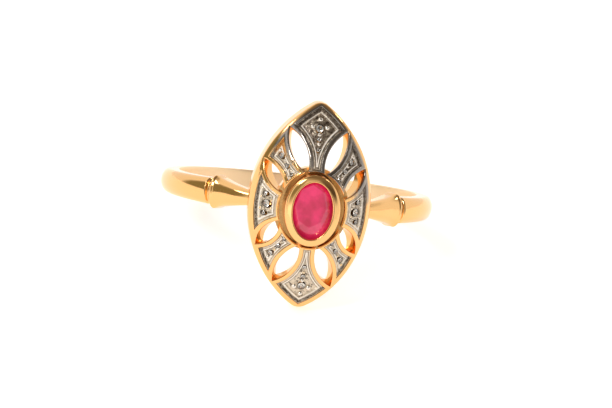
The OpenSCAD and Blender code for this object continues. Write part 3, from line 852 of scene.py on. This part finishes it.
# %% A node group that sets a grain on each point
INPUTS = {"Points": "Geometry", "Sides": "Int", "Unevenness": "Float", "Seed": "Int", "Metal": "Material"}
punch = bpy.data.node_groups.new("punched_grains", "GeometryNodeTree")
for name, kind in INPUTS.items():
    punch.interface.new_socket(name, in_out="INPUT", socket_type=f"NodeSocket{kind}")
punch.interface.new_socket("Grains", in_out="OUTPUT", socket_type="NodeSocketGeometry")
given = add(punch, "NodeGroupInput").outputs
ball = add(punch, "GeometryNodeMeshUVSphere", {"Segments": given["Sides"], "Rings": 8, "Radius": 1.0})
least = add(punch, "ShaderNodeMath", {0: 1.0, 1: given["Unevenness"]}, operation="SUBTRACT")
most = add(punch, "ShaderNodeMath", {0: 1.0, 1: given["Unevenness"]}, operation="ADD")
vary = add(punch, "FunctionNodeRandomValue",
           {0: least.outputs[0], 1: most.outputs[0], "Seed": given["Seed"]}, data_type="FLOAT_VECTOR")
own_size = add(punch, "GeometryNodeInputNamedAttribute", {"Name": "size"}, data_type="FLOAT")
scale = add(punch, "ShaderNodeVectorMath",
            {0: vary.outputs[0], "Scale": own_size.outputs["Attribute"]}, operation="SCALE")
stand = add(punch, "GeometryNodeInstanceOnPoints",
            {"Points": given["Points"], "Instance": ball.outputs["Mesh"], "Scale": scale.outputs[0]})
real = add(punch, "GeometryNodeRealizeInstances", {"Geometry": stand.outputs["Instances"]})
soft = add(punch, "GeometryNodeSetShadeSmooth", {"Geometry": real.outputs["Geometry"]})
dressed = add(punch, "GeometryNodeSetMaterial",
              {"Geometry": soft.outputs["Geometry"], "Material": given["Metal"]})
add(punch, "NodeGroupOutput", {"Grains": dressed.outputs["Geometry"]})
print("nodes in the group:", len(punch.nodes))

# %% [markdown]
# ## Wear, plating, painted shade and painted highlights as measured fields
# Colour on an old ring follows its shape, and so do the shade and highlights painted here. So each
# vertex stores three measures: its distance inside the border line, its place from the lower left to
# the upper right of the head, and its depth below the dome. The materials read them, and a line of
# wear or of painted shade then falls exactly on an edge of the metal.

# %% Measures of a piece, the painted shade in its groove and the bore
# Values that stand for "out of reach": on the bezel, and past this distance from the head's middle.
NOT_PLATED, NOT_ON_HEAD, HEAD_REACH = -9, 9, 9


def measure(piece):
    """Stores what the metals read: the three measures, the painted shade in the groove round the bezel and
    the bore.
    """
    u, v, w = read(piece, HEAD).T
    round_stone = np.hypot(u / COLLAR[0], v / COLLAR[1])
    upper = np.where(round_stone < 1, NOT_PLATED, v + 0.45 * u)
    depth = ACROSS_R - np.hypot(u, np.hypot(v, w + DOME_LOW) - SPINE_R)
    depth = np.where(np.hypot(u, v) > HEAD_REACH, NOT_ON_HEAD, depth)
    store(piece, "measures", np.column_stack([border_depth(np.column_stack([u, v])), upper, depth]))
    # Shade is painted deep in the groove round the bezel, most of all at its lower right.
    groove = np.interp(round_stone, [1, 1.03], [1, 0]) * np.interp(depth, [0.1, 0.6], [0, 1])
    groove = groove * np.interp(u - 0.5 * v, [-2, 0.5], [0.15, 1])
    store(piece, "groove_painted_shade", groove * (w > -1))
    x, y, _ = read(piece, RING).T
    store(piece, "bore", np.interp(np.hypot(x, y), [FINGER_R + 0.02, FINGER_R + 0.08], [1, 0]))


# %% Painted shade in the cuts, painted highlights on the lines and worn metal on a panel
# Distance from a line or a stone's edge, and the strength of the painted shade or painted highlight there.
DARK_BORDER = [(0.06, 0), (0.11, 1), (0.28, 0.85), (0.32, 0)]
DARK_LEAF = [(0.09, 0), (0.13, 0.6), (0.16, 0.6), (0.19, 0), (0.22, 0), (0.26, 0.5), (0.3, 0.5),
             (0.34, 0.12)]
DARK_SEAT = [(0, 1), (0.03, 0.1), (0.07, 0.1), (0.11, 0)]
BRIGHT_BORDER = [(0.29, 0), (0.33, 1), (0.37, 1), (0.41, 0)]
BRIGHT_LEAF = [(0.14, 0), (0.18, 1), (0.24, 1), (0.28, 0)]
# The middle of the worn corner of the upper left panel, and how far the wear spreads.
WORN_CORNER, WORN_REACH = (-2.45, 4.55), [0.7, 1.25]


def paint_shade_and_highlights(piece, stones):
    """1 where shade is painted in a cut or round a stone, 0 on plain metal and -1 on a painted highlight
    line.
    """
    plan = read(piece, HEAD)[:, :2]
    leaf, border = leaf_depth(plan), border_depth(plan)
    painted_shade = np.maximum(np.interp(border, *zip(*DARK_BORDER)), np.interp(leaf, *zip(*DARK_LEAF)))
    for centre, radius in stones:
        painted_shade = np.maximum(painted_shade, np.interp(np.hypot(*(plan - centre).T) - radius, *zip(*DARK_SEAT)))
    painted_highlight = np.interp(border, *zip(*BRIGHT_BORDER)) * (leaf > 0.18)
    painted_highlight = np.maximum(painted_highlight, np.interp(leaf, *zip(*BRIGHT_LEAF)) * (border > 0.32))
    store(piece, "painted_shade_and_highlight", painted_shade * (1 - painted_highlight) - painted_highlight)
    store(piece, "worn_yellow", np.interp(np.hypot(*(plan - WORN_CORNER).T), WORN_REACH, [1, 0]))


# %% [markdown]
# ## Yellow gold with a worn white plating
# The body is 18 ct yellow gold, cast and then polished by hand on a felt wheel. That leaves a bright
# mirror with a slow waviness of about a millimetre and hair-fine scratches. The upper part of the
# head keeps a thin skin of rhodium, a neutral, darker mirror, from when the white panels were plated.

# %% Material: 18 ct yellow gold, polished
gold_18ct, tree, metal = material("yellow_gold_18ct_polished", {"Metallic": 1.0})
here = add(tree, "ShaderNodeTexCoord").outputs["Object"]
kept = add(tree, "ShaderNodeAttribute", attribute_name="measures").outputs["Vector"]
axes = add(tree, "ShaderNodeSeparateXYZ", {"Vector": kept}).outputs
# The plating: on the upper part of the head, near the dome's surface and off the border line.
patches = add(tree, "ShaderNodeTexNoise", {"Vector": here, "Scale": 1.4 / MM, "Detail": 3.0}).outputs["Fac"]
ragged = add(tree, "ShaderNodeMath", {0: patches, 1: 1.6, 2: axes["Y"]}, operation="MULTIPLY_ADD").outputs[0]
high = add(tree, "ShaderNodeMapRange", {"Value": ragged, "From Min": 2.6, "From Max": 3.7},
           interpolation_type="SMOOTHSTEP")
shallow = add(tree, "ShaderNodeMapRange", {"Value": axes["Z"], "From Min": 0.3, "From Max": 0.14})
inner = add(tree, "ShaderNodeMapRange", {"Value": axes["X"], "From Min": -0.2, "From Max": -0.08})
plated = high.outputs[0]
for share in (shallow, inner):
    plated = add(tree, "ShaderNodeMath", {0: plated, 1: share.outputs[0]}, operation="MULTIPLY").outputs[0]
# Over the plain gold lie the plating, painted shade in the groove and a paler painted sheen with a satin
# finish on the bore.
groove_shade = add(tree, "ShaderNodeAttribute", attribute_name="groove_painted_shade").outputs["Fac"]
bore = add(tree, "ShaderNodeAttribute", attribute_name="bore").outputs["Fac"]
colour = linear("#F8C27F")
# The pale colour on the bore is a painted sheen; its satin finish is the added roughness below.
for share, over in ((plated, "#9C938A"), (groove_shade, "#D0904A"), (bore, "#FFE4BC")):
    layer = add(tree, "ShaderNodeMix",
                {"Factor": share, FIRST: colour, SECOND: linear(over)}, data_type="RGBA")
    colour = layer.outputs[MIXED]
tree.links.new(colour, metal.inputs["Base Color"])
# Hair-fine scratches in the polish, and the slow wave that the wheel leaves.
hairs = add(tree, "ShaderNodeTexNoise", {"Vector": here, "Scale": 14 / MM, "Detail": 4.0}).outputs["Fac"]
gloss = add(tree, "ShaderNodeMapRange",
            {"Value": hairs, "From Min": 0.35, "From Max": 0.7, "To Min": 0.07, "To Max": 0.16}).outputs[0]
brushed = add(tree, "ShaderNodeMath", {0: bore, 1: 0.35, 2: gloss}, operation="MULTIPLY_ADD").outputs[0]
tree.links.new(brushed, metal.inputs["Roughness"])
wave = add(tree, "ShaderNodeTexNoise", {"Vector": here, "Scale": 0.9 / MM, "Detail": 1.0}).outputs["Fac"]
rise = add(tree, "ShaderNodeBump", {"Strength": 0.25, "Distance": 0.03 * MM, "Height": wave}).outputs[0]
fine = add(tree, "ShaderNodeBump",
           {"Strength": 0.1, "Distance": 0.003 * MM, "Height": hairs, "Normal": rise})
tree.links.new(fine.outputs["Normal"], metal.inputs["Normal"])
print("gold:", len(tree.nodes), "nodes")

# %% [markdown]
# ## White gold, engraved and worn, with painted shade and highlights
# The panels are white gold, cut with a graver whose polished face leaves a bright surface wherever it
# passes. The floor between the cuts is beaten and pitted. Shade is painted dark into the deep cuts,
# round the stones and into the pits, highlights are painted frosty white on the raised lines, and the
# metal is painted darker towards the upper right. One corner is worn through to the yellow metal.

# %% Material: white metal, engraved, with painted shade and highlights
white_gold, tree, metal = material("white_gold_engraved_painted_light", {})
here = add(tree, "ShaderNodeTexCoord").outputs["Object"]
kept = add(tree, "ShaderNodeAttribute", attribute_name="measures").outputs["Vector"]
axes = add(tree, "ShaderNodeSeparateXYZ", {"Vector": kept}).outputs
# Painted shade where the graver cut, uneven along the cut, and in the pits of the beaten floor.
painted_marks = add(tree, "ShaderNodeAttribute", attribute_name="painted_shade_and_highlight").outputs["Fac"]
streaks = add(tree, "ShaderNodeTexNoise", {"Vector": here, "Scale": 9 / MM, "Detail": 4.0}).outputs["Fac"]
uneven_shade = add(tree, "ShaderNodeMapRange",
            {"Value": streaks, "From Min": 0.3, "From Max": 0.6, "To Min": 0.5, "To Max": 1.15}).outputs[0]
painted_shade = add(tree, "ShaderNodeMath", {0: painted_marks, 1: uneven_shade}, operation="MULTIPLY").outputs[0]
crumple = add(tree, "ShaderNodeTexNoise",
              {"Vector": here, "Scale": 5 / MM, "Detail": 2.0, "Distortion": 0.6}).outputs["Fac"]
pits = add(tree, "ShaderNodeMapRange",
           {"Value": crumple, "From Min": 0.46, "From Max": 0.38, "To Max": 0.85}).outputs[0]
floor = add(tree, "ShaderNodeMapRange", {"Value": axes["Z"], "From Min": 0.14, "From Max": 0.19}).outputs[0]
pits = add(tree, "ShaderNodeMath", {0: pits, 1: floor}, operation="MULTIPLY").outputs[0]
painted_shade = add(tree, "ShaderNodeMath", {0: painted_shade, 1: pits}, operation="MAXIMUM").outputs[0]
# Painted shade: the metal is darker towards the upper right, standing in for the dark room that the upper
# panels mirror.
across = add(tree, "ShaderNodeSeparateXYZ", {"Vector": here}).outputs["X"]
upper = add(tree, "ShaderNodeMath", {0: across, 1: 0.35 / MM, 2: axes["Y"]}, operation="MULTIPLY_ADD")
high = add(tree, "ShaderNodeMapRange", {"Value": upper.outputs[0], "From Min": 1.6, "From Max": 4.0})
hollow = add(tree, "ShaderNodeMapRange", {"Value": crumple, "From Min": 0.6, "From Max": 0.52})
upper_painted_shade = add(tree, "ShaderNodeMath", {0: high.outputs[0], 1: hollow.outputs[0]}, operation="MULTIPLY")
# The colours in turn: clean metal, the painted shade to the upper right, the painted shade in the cuts and
# pits, the corner worn to yellow and the painted highlight lines.
worn = add(tree, "ShaderNodeAttribute", attribute_name="worn_yellow").outputs["Fac"]
line = add(tree, "ShaderNodeMapRange", {"Value": painted_marks, "From Min": -0.2, "From Max": -0.9}).outputs[0]
yellow = add(tree, "ShaderNodeMix",
             {"Factor": painted_shade, FIRST: linear("#F4BE78"), SECOND: linear("#A0602A")}, data_type="RGBA")
colour = linear("#E2D2BC")
layers = (
    (upper_painted_shade.outputs[0], linear("#A09080")), (painted_shade, linear("#4E4238")),
    (worn, yellow.outputs[MIXED]), (line, linear("#FFF6EA")),
)
for share, over in layers:
    layer = add(tree, "ShaderNodeMix", {"Factor": share, FIRST: colour, SECOND: over}, data_type="RGBA")
    colour = layer.outputs[MIXED]
tree.links.new(colour, metal.inputs["Base Color"])
# A painted highlight line is rough and hardly metallic, so it shows white like frost.
gloss = add(tree, "ShaderNodeMapRange",
            {"Value": streaks, "From Min": 0.3, "From Max": 0.7, "To Min": 0.26, "To Max": 0.42}).outputs[0]
frosted = add(tree, "ShaderNodeMath", {0: line, 1: 0.3, 2: gloss}, operation="MULTIPLY_ADD").outputs[0]
tree.links.new(frosted, metal.inputs["Roughness"])
bare = add(tree, "ShaderNodeMapRange", {"Value": line, "To Min": 1.0, "To Max": 0.1}).outputs[0]
tree.links.new(bare, metal.inputs["Metallic"])
beaten = add(tree, "ShaderNodeBump", {"Strength": 0.8, "Distance": 0.08 * MM, "Height": crumple}).outputs[0]
ripple = add(tree, "ShaderNodeBump",
             {"Strength": 0.35, "Distance": 0.01 * MM, "Height": streaks, "Normal": beaten})
tree.links.new(ripple.outputs["Normal"], metal.inputs["Normal"])
print("white gold:", len(tree.nodes), "nodes")

# %% Material: the same metal on the grains, worn through to yellow on their crowns
grain_metal, tree, metal = material("white_gold_grain_worn_to_yellow", {"Metallic": 1.0, "Roughness": 0.22})
kept = add(tree, "ShaderNodeAttribute", attribute_name="measures").outputs["Vector"]
axes = add(tree, "ShaderNodeSeparateXYZ", {"Vector": kept}).outputs
# Worn on the crowns, in the lower part of the head, but not at its lower tip.
crown = add(tree, "ShaderNodeMapRange", {"Value": axes["Z"], "From Min": 0.14, "From Max": 0.1})
lower = add(tree, "ShaderNodeMapRange", {"Value": axes["Y"], "From Min": 2.2, "From Max": 0.6})
end = add(tree, "ShaderNodeMapRange", {"Value": axes["Y"], "From Min": -4.8, "From Max": -4.3})
worn = crown.outputs[0]
for share in (lower, end):
    worn = add(tree, "ShaderNodeMath", {0: worn, 1: share.outputs[0]}, operation="MULTIPLY").outputs[0]
colour = add(tree, "ShaderNodeMix",
             {"Factor": worn, FIRST: linear("#E9DFD2"), SECOND: linear("#F6D29A")}, data_type="RGBA")
tree.links.new(colour.outputs[MIXED], metal.inputs["Base Color"])
print("grain metal:", len(tree.nodes), "nodes")

# %% [markdown]
# ## Ruby and diamond
# The red stone is a cloudy ruby, cut and polished on a lap. Fine needles in it scatter light and make
# it almost opaque, and a faint painted glow lifts it where the lip shades its edge. The diamonds are
# small and clear, with facets polished in the same way, and their colour is painted a little warm, a
# reflection of the gold around them.

# %% Material: ruby with clouds
# The emission is a painted glow that lifts the stone where the lip shades its edge.
ruby_red, tree, stone = material("ruby_cloudy", {
    "Roughness": 0.06, "IOR": 1.77, "Transmission Weight": 0.12,
    "Emission Color": linear("#FF3068"), "Emission Strength": 0.14,
})
here = add(tree, "ShaderNodeTexCoord").outputs["Object"]
clouds = add(tree, "ShaderNodeTexNoise", {"Vector": here, "Scale": 0.9 / MM, "Detail": 3.0}).outputs["Fac"]
silk = add(tree, "ShaderNodeMapRange", {"Value": clouds, "From Min": 0.35, "From Max": 0.65}).outputs[0]
colour = add(tree, "ShaderNodeMix",
             {"Factor": silk, FIRST: linear("#B4083E"), SECOND: linear("#F02C70")}, data_type="RGBA")
tree.links.new(colour.outputs[MIXED], stone.inputs["Base Color"])

# %% Material: diamond
# The warm base colour is a painted reflection of the gold around the diamonds.
clear, _, _ = material("diamond", {
    "Base Color": linear("#F4EADC"), "Roughness": 0.01, "IOR": 2.42, "Transmission Weight": 1.0,
})
print("stones:", ruby_red.name, clear.name)

# %% [markdown]
# ## Dress the pieces
# The new gold body and panels stand in for their plain solids. The stones keep their measured
# solids, whose flat facets are already right, and only get their materials.

# %% Dress the pieces
gold.name = "gold_ring"
gold.data.materials.clear()
gold.data.materials.append(gold_18ct)
gold.data.shade_smooth()
gold.data.set_sharp_from_angle(angle=math.radians(40))
measure(gold)
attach(gold, "root")
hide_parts("gold_body")

for where, piece in panels.items():
    piece.data.materials.append(white_gold)
    measure(piece)
    paint_shade_and_highlights(piece, seats(where))
    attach(piece, "root")
    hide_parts(f"panel_{where}")

setting = grains.modifiers.new("punch", "NODES")
setting.node_group = punch
socket = {item.name: item.identifier for item in punch.interface.items_tree if item.in_out == "INPUT"}
for name, value in (("Sides", 16), ("Unevenness", 0.12), ("Seed", 7), ("Metal", grain_metal)):
    setting[socket[name]] = value
bake(grains)
measure(grains)
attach(grains, "root")

for name in solids:
    if name == "ruby" or name.startswith("diamond"):
        solid = bpy.data.objects[name]
        solid.data.materials.clear()
        solid.data.materials.append(ruby_red if name == "ruby" else clear)
print("dressed:", gold.name, grains.name, *[piece.name for piece in panels.values()])
